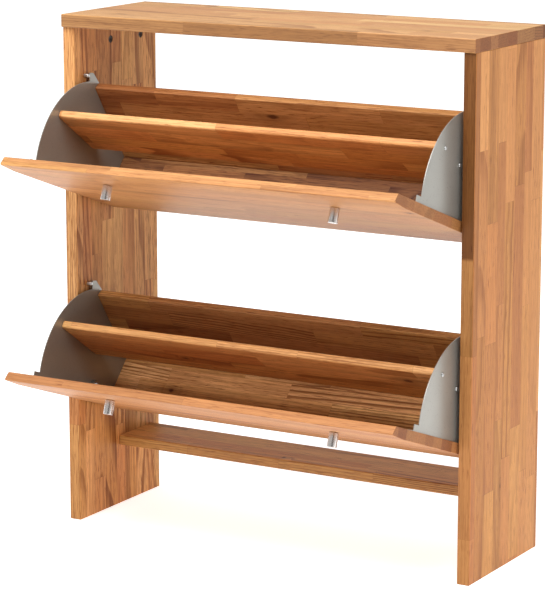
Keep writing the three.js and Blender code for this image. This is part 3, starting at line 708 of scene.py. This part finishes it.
def carcass_boards():
    """Grain direction and look of each board of the carcass. All are wide towards the back."""
    # Front faces get their own tone and tint, and on the top and right panels heartwood tint: painted
    # light and shade on those faces, the heartwood tint partly real heartwood
    boards = {
        "top_panel": dict(
            grain=RIGHTWARD, seed=3.0, tone=0.68, gloss=0.42, tint=PALE, edge_shading_tone=-0.05, heartwood_and_shade=0.6,
        ),
        "left_side_panel": dict(
            grain=UPWARD, seed=11.0, tone=0.8, figure=1.6, gloss=0.16, tint=GOLDEN, edge_shading_tone=-0.06,
            edge_shading_tint=EDGE_SHADING_BLUE,
        ),
        "right_side_panel": dict(
            grain=UPWARD, seed=19.0, tone=0.52, figure=0.7, gloss=0.16, tint=RUDDY, edge_shading_tone=0.02,
            edge_shading_tint=EDGE_SHADING_CYAN, heartwood_and_shade=1.1, heartwood_and_shade_from=0.6,
        ),
        "bottom_rail": dict(
            grain=RIGHTWARD, seed=41.0, tone=1.05, spread=0.5, figure=1.2, tint=AMBER, edge_shading_tone=-0.5,
            edge_shading_tint=EDGE_SHADING_CYAN,
        ),
    }
    return {node: {**look, "width": BACKWARD} for node, look in boards.items()}


def flap_boards():
    """The same for the compartments' boards: a look for each kind, and changes for single boards."""
    kinds = (
        ("front_panel", FRONT_ANGLE, dict(
            seed=1.0, tone=0.45, spread=0.4, figure=0.6, tint=COOL, end_depth=0.55,
        )),
        ("divider", DIVIDER_ANGLE, dict(seed=2.0, tone=0.95, figure=1.3)),
        ("rear_board", REAR_ANGLE, dict(seed=3.0, tone=0.32, figure=1.4, tint=COOL)),
        ("floor_board", FLOOR_ANGLE, dict(seed=6.0, tone=0.6, spread=1.2, figure=2.0, tint=COOL)),
    )
    boards = {}
    for number, level in enumerate(LEVELS):
        for kind, angle, look in kinds:
            seed = FLAP_SEED + LEVEL_SEEDS * number + look["seed"]
            width = in_plane(angle + OPEN_ANGLE)
            boards[f"{level}_{kind}"] = {**look, "grain": RIGHTWARD, "width": width, "seed": seed}
    boards["upper_floor_board"].update(tone=0.12, tint=DUSKY)
    boards["lower_floor_board"].update(tone=1.05, figure=1.9, tint=WHITE)
    boards["lower_front_panel"].update(tone=0.24)
    return boards


def dress_boards():
    for node, look in {**carcass_boards(), **flap_boards()}.items():
        coat(NODES[node], board_wood(f"wood_{node}", **look))
        refine(NODES[node])


def dress_plates():
    for level in LEVELS:
        for side_name, _ in SIDES:
            plate = NODES[f"{level}_side_plate_{side_name}"]
            coat(plate, MATERIALS["painted_steel"])
            refine(plate, PLATE_EASE)


def dress_rail_fittings():
    """Cam bolts and dowels at the ends of the bottom rail."""
    for side_name, _ in SIDES:
        for end in ("front", "rear"):
            bolt = NODES[f"cam_bolt_{side_name}_{end}"]
            coat(bolt, MATERIALS["bright_steel"])
            refine(bolt)
            dowel = NODES[f"rail_dowel_{side_name}_{end}"]
            coat(dowel, MATERIALS["dowel_wood"])
            refine(dowel, DOWEL_EASE)


# ---- Mesh work for the fittings ---------------------------------------------------------------


def mesh_object(name, vertices, faces):
    """Object of outward faces, shaded smooth except across sharp edges."""
    mesh = bpy.data.meshes.new(name)
    mesh.from_pydata(vertices, [], faces)
    work = bmesh.new()
    work.from_mesh(mesh)
    bmesh.ops.remove_doubles(work, verts=work.verts, dist=1e-7)
    bmesh.ops.recalc_face_normals(work, faces=work.faces)
    for face in work.faces:
        face.smooth = True
    for edge in work.edges:
        edge.smooth = len(edge.link_faces) == 2 and edge.calc_face_angle(0.0) < SMOOTH_BELOW
    work.to_mesh(mesh)
    work.free()
    obj = bpy.data.objects.new(name, mesh)
    bpy.context.scene.collection.objects.link(obj)
    return obj


def rings_object(name, rings, closed=False):
    """Surface through rings of equally many points: closed in a loop, or with both ends capped."""
    count = len(rings[0])
    vertices = [point for ring in rings for point in ring]
    faces = []
    last = len(rings) if closed else len(rings) - 1
    for i in range(last):
        here = i * count
        there = ((i + 1) % len(rings)) * count
        for j in range(count):
            k = (j + 1) % count
            faces.append((here + j, here + k, there + k, there + j))
    if not closed:
        faces.append(tuple(reversed(range(count))))
        faces.append(tuple(range((len(rings) - 1) * count, len(rings) * count)))
    return mesh_object(name, vertices, faces)


def circle(radius, height, segments):
    """Ring of points about Z, in metres from a radius and a height in millimetres."""
    ring = []
    for i in range(segments):
        angle = math.tau * i / segments
        ring.append((radius * MM * math.cos(angle), radius * MM * math.sin(angle), height * MM))
    return ring


def turned(name, profile, segments=48, closed=False):
    """Turned piece about Z from [radius, height] points in millimetres. Its ends are flat discs."""
    rings = [circle(radius, height, segments) for radius, height in profile]
    return rings_object(name, rings, closed)


def eased(profile, ease, steps=3):
    """The profile with its corners rounded; the first and last points stay."""
    points = [profile[0]]
    for before, corner, after in zip(profile, profile[1:], profile[2:]):
        corner_at = Vector(corner)
        back = Vector(before) - corner_at
        ahead = Vector(after) - corner_at
        start = corner_at + back.normalized() * min(ease, back.length * 0.45)
        end = corner_at + ahead.normalized() * min(ease, ahead.length * 0.45)
        for i in range(steps + 1):
            share = i / steps
            first = start.lerp(corner_at, share)
            second = corner_at.lerp(end, share)
            points.append(tuple(first.lerp(second, share)))
    points.append(profile[-1])
    return points


def carve(obj, cutter):
    """Cuts cutter out of obj for good, and removes cutter."""
    cut = obj.modifiers.new("cut", "BOOLEAN")
    cut.operation = "DIFFERENCE"
    cut.solver = "EXACT"
    cut.use_self = True
    cut.object = cutter
    scene_now = bpy.context.evaluated_depsgraph_get()
    mesh = bpy.data.meshes.new_from_object(obj.evaluated_get(scene_now))
    obj.modifiers.clear()
    obj.data = mesh
    bpy.data.objects.remove(cutter)


def cross_cutter(reach, width, floor, top):
    """Cross for a screwdriver recess, from floor up to top and wider there, in millimetres."""
    vertices = []
    faces = []
    for crosswise in (False, True):
        start = len(vertices)
        for height, reach_share, width_share in ((floor, RECESS_REACH, RECESS_WIDTH), (top, 1.0, 1.0)):
            long = reach * reach_share
            short = width * width_share / 2
            for x, y in ((-long, -short), (long, -short), (long, short), (-long, short)):
                x, y = (-y, x) if crosswise else (x, y)
                vertices.append((x * MM, y * MM, height * MM))
        faces.append(tuple(start + i for i in (3, 2, 1, 0)))
        faces.append(tuple(start + i for i in (4, 5, 6, 7)))
        for i in range(4):
            j = (i + 1) % 4
            faces.append((start + i, start + j, start + 4 + j, start + 4 + i))
    return mesh_object("recess", vertices, faces)


def span(node, axis):
    """Lowest and highest reach of a CAD node along an axis, in metres."""
    reaches = [vertex.co.dot(axis) for vertex in NODES[node].data.vertices]
    return min(reaches), max(reaches)


def length_of(node, axis):
    """Length of a CAD node along an axis, in millimetres."""
    low, high = span(node, Vector(axis).normalized())
    return (high - low) / MM


def fix(piece, at, axis, body):
    """Puts the piece's zero at a point and its Z axis along a direction."""
    turn = Vector(axis).to_track_quat("Z", "Y").to_matrix().to_4x4()
    piece.matrix_world = Matrix.Translation(at) @ turn
    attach(piece, body)


FIRST_OF_KIND = {}


def another(make, name, material):
    """A piece by make(name). After the first, pieces by the same make share its mesh."""
    if make not in FIRST_OF_KIND:
        FIRST_OF_KIND[make] = make(name)
        coat(FIRST_OF_KIND[make], MATERIALS[material])
        return FIRST_OF_KIND[make]
    twin = bpy.data.objects.new(name, FIRST_OF_KIND[make].data)
    bpy.context.scene.collection.objects.link(twin)
    return twin


def rebuild(node, make, ending, axis, body, slot):
    """A piece by make in a CAD node's stead: Z along the node's own axis, zero at the node's start."""
    axis = Vector(axis).normalized()
    low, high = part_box(node)
    middle = (low + high) / 2
    near = span(node, axis)[0]
    piece = another(make, f"{node}_{ending}", slot)
    fix(piece, middle + axis * (near - middle.dot(axis)), axis, body)
    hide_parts(node)


# Fittings lie along these directions: straight out of the front panel, or outwards on a side
KNOB_AXIS = Vector(in_plane(FRONT_ANGLE + 90.0 + OPEN_ANGLE))


def outward(side):
    return Vector((side, 0, 0))


# ---- Fittings ---------------------------------------------------------------------------------


def knob(name):
    """Plain knob with eased rims on a narrow foot. The first and last points only aim the easing."""
    long = length_of("upper_knob_left", KNOB_AXIS)
    low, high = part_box("upper_knob_left")
    radius = (high.x - low.x) / 2 / MM
    profile = [
        (0.0, 0.0),
        (radius - KNOB_FOOT_IN, 0.0),
        (radius - KNOB_FOOT_IN, KNOB_FOOT),
        (radius, KNOB_FOOT + 0.3),
        (radius, long),
        (0.0, long),
    ]
    return turned(name, eased(profile, KNOB_EASE, 4)[1:-1], 64)


def add_knobs():
    for level in LEVELS:
        for side_name, _ in SIDES:
            node = f"{level}_knob_{side_name}"
            rebuild(node, knob, "turned", KNOB_AXIS, f"{level}_flap", "brushed_aluminium")


def screw(name, head_radius, head_high, shank_radius, shank_long):
    """Pan-head screw, point at zero, head uppermost, with a thread and a cross recess."""
    core = shank_radius * 0.75
    neck = shank_radius * 0.85
    top = shank_long + head_high
    profile = [(POLE, 0.0), (core, SCREW_TIP)]
    height = SCREW_TIP
    while height + SCREW_PITCH < shank_long - SCREW_PLAIN:
        profile.append((core, height + SCREW_PITCH * 0.45))
        profile.append((shank_radius, height + SCREW_PITCH * 0.6))
        profile.append((core, height + SCREW_PITCH * 0.75))
        height += SCREW_PITCH
    profile.append((neck, shank_long - SCREW_PLAIN / 2))
    profile.append((neck, shank_long))
    profile.append((head_radius, shank_long))
    steps = 6
    for i in range(steps + 1):
        angle = math.pi / 2 * i / steps
        radius = head_radius * (0.5 + 0.5 * math.cos(angle))
        profile.append((radius, shank_long + head_high * (0.35 + 0.65 * math.sin(angle))))
    profile.append((POLE, top))
    piece = turned(name, profile, 36)
    carve(piece, cross_cutter(head_radius * 0.52, 0.9, top - head_high * 0.75, top + 0.4))
    return piece


def knob_screw(name):
    shank_long = length_of("upper_knob_screw_left", -KNOB_AXIS) - SCREW_HEAD_HIGH
    return screw(name, SCREW_HEAD, SCREW_HEAD_HIGH, SCREW_SHANK, shank_long)


def divider_screw(name):
    shank_long = length_of("upper_divider_screw_left_low", RIGHTWARD) - SCREW_HEAD_HIGH
    return screw(name, SCREW_HEAD, SCREW_HEAD_HIGH, SCREW_SHANK, shank_long)


def plate_screw(name):
    return screw(name, PLATE_SCREW_HEAD, PLATE_SCREW_HEAD_HIGH, PLATE_SCREW_SHANK, PLATE_SCREW_LONG)


def add_screws():
    """Knob screws through the front panels and divider screws through the side plates."""
    for level in LEVELS:
        for side_name, side in SIDES:
            node = f"{level}_knob_screw_{side_name}"
            rebuild(node, knob_screw, "turned", -KNOB_AXIS, f"{level}_flap", "bright_steel")
            for row in ("low", "high"):
                node = f"{level}_divider_screw_{side_name}_{row}"
                rebuild(node, divider_screw, "turned", outward(side), f"{level}_flap", "bright_steel")


def place_plate_screw(name, face_point, axis, level):
    """A plate screw whose head lies on the face at a point."""
    at = face_point - axis * PLATE_SCREW_LONG * MM
    piece = another(plate_screw, name, "bright_steel")
    fix(piece, at, axis, f"{level}_flap")


def add_flange_screws(level, side_name, side):
    """Through the flange of a side plate into the front panel."""
    inward = Vector(in_plane(FRONT_ANGLE - 90.0 + OPEN_ANGLE))
    up_front = Vector(in_plane(FRONT_ANGLE + OPEN_ANGLE))
    low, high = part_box(f"{level}_pivot_pin_left")
    pivot = (low + high) / 2
    face = span(f"{level}_front_panel", inward)[1] + FLANGE_RISE * MM
    low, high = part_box(f"{level}_side_plate_{side_name}")
    inner_edge = high.x if side < 0 else low.x
    screw_x = Vector((inner_edge + side * FLANGE_SCREW_IN * MM, 0, 0))
    for number, height in enumerate(FLANGE_SCREWS, 1):
        up = up_front * (pivot.dot(up_front) + height * MM)
        at = screw_x + inward * face + up
        place_plate_screw(f"{level}_flange_screw_{side_name}_{number}", at, inward, level)


def add_board_screws(level, side_name, side):
    """Through a side plate into the ends of the rear board and the floor board."""
    low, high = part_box(f"{level}_side_plate_{side_name}")
    for board, angle in (("rear", REAR_ANGLE), ("floor", FLOOR_ANGLE)):
        lengthwise = Vector(in_plane(angle + OPEN_ANGLE))
        thickness = Vector(in_plane(angle + OPEN_ANGLE - 90.0))
        start, end = span(f"{level}_{board}_board", lengthwise)
        middle = sum(span(f"{level}_{board}_board", thickness)) / 2
        for number, share in enumerate(BOARD_SCREWS, 1):
            at = lengthwise * (start + (end - start) * share) + thickness * middle
            at.x = low.x if side < 0 else high.x
            place_plate_screw(f"{level}_{board}_screw_{side_name}_{number}", at, outward(side), level)


def add_plate_screws():
    """Short screws that hold each side plate."""
    for level in LEVELS:
        for side_name, side in SIDES:
            add_flange_screws(level, side_name, side)
            add_board_screws(level, side_name, side)


def pivot_pin(name):
    """Journal with a threaded end at zero, a collar and a shank for the side panel."""
    long = length_of("upper_pivot_pin_left", RIGHTWARD)
    collar_top = long - SHANK_LONG
    collar = collar_top - COLLAR_THICK
    profile = [(POLE, 0.0), (PIN_RADIUS - 0.8, 0.0), (PIN_RADIUS - 0.3, 0.6)]
    height = 1.0
    while height < PIN_THREAD:
        profile.append((PIN_RADIUS - PIN_THREAD_DEEP, height))
        profile.append((PIN_RADIUS, height + PIN_PITCH * 0.5))
        height += PIN_PITCH
    profile += [
        (PIN_RADIUS, height + PIN_PITCH * 0.5),
        (PIN_RADIUS, collar),
        (COLLAR_RADIUS - 0.4, collar),
        (COLLAR_RADIUS, collar + 0.4),
        (COLLAR_RADIUS, collar_top - 0.3),
        (COLLAR_RADIUS - 0.2, collar_top),
        (SHANK_RADIUS, collar_top),
        (SHANK_RADIUS, long - 0.6),
        (SHANK_RADIUS - 0.6, long),
        (POLE, long),
    ]
    return turned(name, profile)


def pivot_nut(name):
    """Hexagon nut with chamfered corners and a countersunk bore."""
    thick = length_of("upper_pivot_nut_left", RIGHTWARD)
    segments = 72
    chamfer_radius = NUT_ACROSS / 2 * 0.95
    slope = math.tan(math.radians(30))

    def hexagon(level, drop_sign):
        ring = []
        for i in range(segments):
            angle = math.tau * i / segments
            folded = (angle + math.pi / 6) % (math.pi / 3) - math.pi / 6
            radius = NUT_ACROSS / 2 / math.cos(folded)
            height = level + drop_sign * (radius - chamfer_radius) * slope
            ring.append((radius * math.cos(angle) * MM, radius * math.sin(angle) * MM, height * MM))
        return ring

    rings = [
        circle(BORE_RADIUS + NUT_SINK, 0.0, segments),
        circle(chamfer_radius, 0.0, segments),
        hexagon(0.0, 1),
        hexagon(thick, -1),
        circle(chamfer_radius, thick, segments),
        circle(BORE_RADIUS + NUT_SINK, thick, segments),
        circle(BORE_RADIUS, thick - NUT_SINK, segments),
        circle(BORE_RADIUS, NUT_SINK, segments),
    ]
    return rings_object(name, rings, closed=True)


def pivot_bush(name):
    """Moulded sleeve from zero up, with a flange at its outer end."""
    long = length_of("upper_pivot_bush_left", RIGHTWARD)
    profile = [
        (BORE_RADIUS, 0.4),
        (BORE_RADIUS + 0.4, 0.0),
        (SLEEVE_RADIUS - 0.3, 0.0),
        (SLEEVE_RADIUS, 0.3),
        (SLEEVE_RADIUS, SLEEVE_LONG),
        (FLANGE_RADIUS - 0.3, SLEEVE_LONG),
        (FLANGE_RADIUS, SLEEVE_LONG + 0.3),
        (FLANGE_RADIUS, long - 0.3),
        (FLANGE_RADIUS - 0.3, long),
        (BORE_RADIUS + 0.4, long),
        (BORE_RADIUS, long - 0.4),
    ]
    return turned(name, profile, closed=True)


def stop_pin(name):
    """Plated pin with a domed end; an open compartment's ear leans on it."""
    long = length_of("upper_stop_pin_left", RIGHTWARD)
    profile = [
        (POLE, 0.0),
        (STOP_RADIUS - 2.0, 0.0),
        (STOP_RADIUS - 0.8, 0.25),
        (STOP_RADIUS - 0.2, 0.8),
        (STOP_RADIUS, 1.5),
        (STOP_RADIUS, long),
        (POLE, long),
    ]
    return turned(name, profile, 40)


def add_pivots():
    """Pins with their nuts on the carcass, and bushes on the compartments."""
    for level in LEVELS:
        for side_name, side in SIDES:
            axis = outward(side)
            node = f"{level}_pivot_pin_{side_name}"
            rebuild(node, pivot_pin, "turned", axis, "carcass", "bright_steel")
            node = f"{level}_pivot_nut_{side_name}"
            rebuild(node, pivot_nut, "cut", axis, "carcass", "bright_steel")
            node = f"{level}_pivot_bush_{side_name}"
            rebuild(node, pivot_bush, "moulded", axis, f"{level}_flap", "black_plastic")


def add_stop_pins():
    for level in LEVELS:
        for side_name, side in SIDES:
            node = f"{level}_stop_pin_{side_name}"
            rebuild(node, stop_pin, "turned", outward(side), "carcass", "bright_steel")


def cam_lock(name):
    """Cam lock with a rim and a cross recess."""
    long = length_of("cam_lock_left_front", RIGHTWARD)
    inner_rim = CAM_RADIUS - CAM_RIM
    profile = [
        (POLE, 0.0),
        (CAM_RADIUS, 0.0),
        (CAM_RADIUS, long),
        (inner_rim, long),
        (inner_rim - 0.3, long - CAM_SUNK),
        (POLE, long - CAM_SUNK),
    ]
    piece = turned(name, eased(profile, 0.3))
    carve(piece, cross_cutter(CAM_RADIUS / 2, 1.5, long - 3.2, long + 0.5))
    return piece


def add_cams():
    for side_name, side in SIDES:
        for end in ("front", "rear"):
            node = f"cam_lock_{side_name}_{end}"
            rebuild(node, cam_lock, "cast", -outward(side), "carcass", "cast_zinc")


# ---- Stage ------------------------------------------------------------------------------------


def add_floor():
    """Wide white floor, flat and softly glowing, that runs out of every view."""
    ticks = [FLOOR_REACH * (2 * i / FLOOR_STEPS - 1) for i in range(FLOOR_STEPS + 1)]
    vertices = [(x, y, 0.0) for x in ticks for y in ticks]
    row = len(ticks)
    faces = []
    for i in range(FLOOR_STEPS):
        for j in range(FLOOR_STEPS):
            corner = i * row + j
            faces.append((corner, corner + row, corner + row + 1, corner + 1))
    floor = mesh_object("floor", vertices, faces)
    material, graph, shader = new_material("pale_floor")
    cloud = graph.noise(object_place(graph), scale=1.5)
    colour = graph.ramp(cloud, (0.3, srgb(232, 232, 232)), (0.7, srgb(238, 238, 238)))
    graph.feed(shader.inputs["Base Color"], colour)
    graph.feed(shader.inputs["Roughness"], graph.math("MULTIPLY_ADD", cloud, 0.1, 0.75))
    shader.inputs["Emission Color"].default_value = WHITE
    shader.inputs["Emission Strength"].default_value = FLOOR_GLOW
    coat(floor, material)


def add_softbox(name, at, target, size, power):
    light = bpy.data.lights.new(name, "AREA")
    light.shape = "RECTANGLE"
    light.size, light.size_y = size
    light.energy = power
    lamp = bpy.data.objects.new(name, light)
    bpy.context.scene.collection.objects.link(lamp)
    lamp.location = at
    lamp.rotation_euler = (Vector(target) - Vector(at)).to_track_quat("-Z", "Y").to_euler()


def add_lights():
    """White all round, dimmer towards the camera, and a softbox above the front."""
    low, high = cad_box
    centre = (low + high) / 2
    scene = bpy.context.scene
    world = bpy.data.worlds.new("studio")
    scene.world = world
    world.use_nodes = True
    background = world.node_tree.nodes["Background"]
    graph = Graph(world.node_tree)
    direction = graph.add("ShaderNodeTexCoord").outputs["Generated"]
    towards_camera = (EYE - centre).normalized()
    level = graph.vector("DOT_PRODUCT", direction, tuple(towards_camera))
    white = graph.rise(level, DIM_FROM, DIM_TO, STUDIO_WHITE, STUDIO_DIM)
    graph.feed(background.inputs["Color"], graph.join(white, white, white))
    background.inputs["Strength"].default_value = 1.0
    add_softbox("key", centre + KEY_PLACE, centre, KEY_SIZE, KEY_POWER)
    scene.view_settings.view_transform = "Standard"
    scene.view_settings.look = "None"


def add_camera():
    camera = bpy.data.objects.new("camera", bpy.data.cameras.new("camera"))
    bpy.context.scene.collection.objects.link(camera)
    camera.location = EYE
    camera.rotation_euler = (math.pi / 2 - LOOK_DOWN, 0.0, LOOK_TURN)
    camera.data.lens = LENS
    camera.data.sensor_width = SENSOR
    camera.data.clip_end = FARTHEST
    bpy.context.scene.camera = camera


# ---- Build ------------------------------------------------------------------------------------

dress_boards()
dress_plates()
dress_rail_fittings()
add_knobs()
add_screws()
add_plate_screws()
add_pivots()
add_stop_pins()
add_cams()
add_floor()
add_lights()
add_camera()
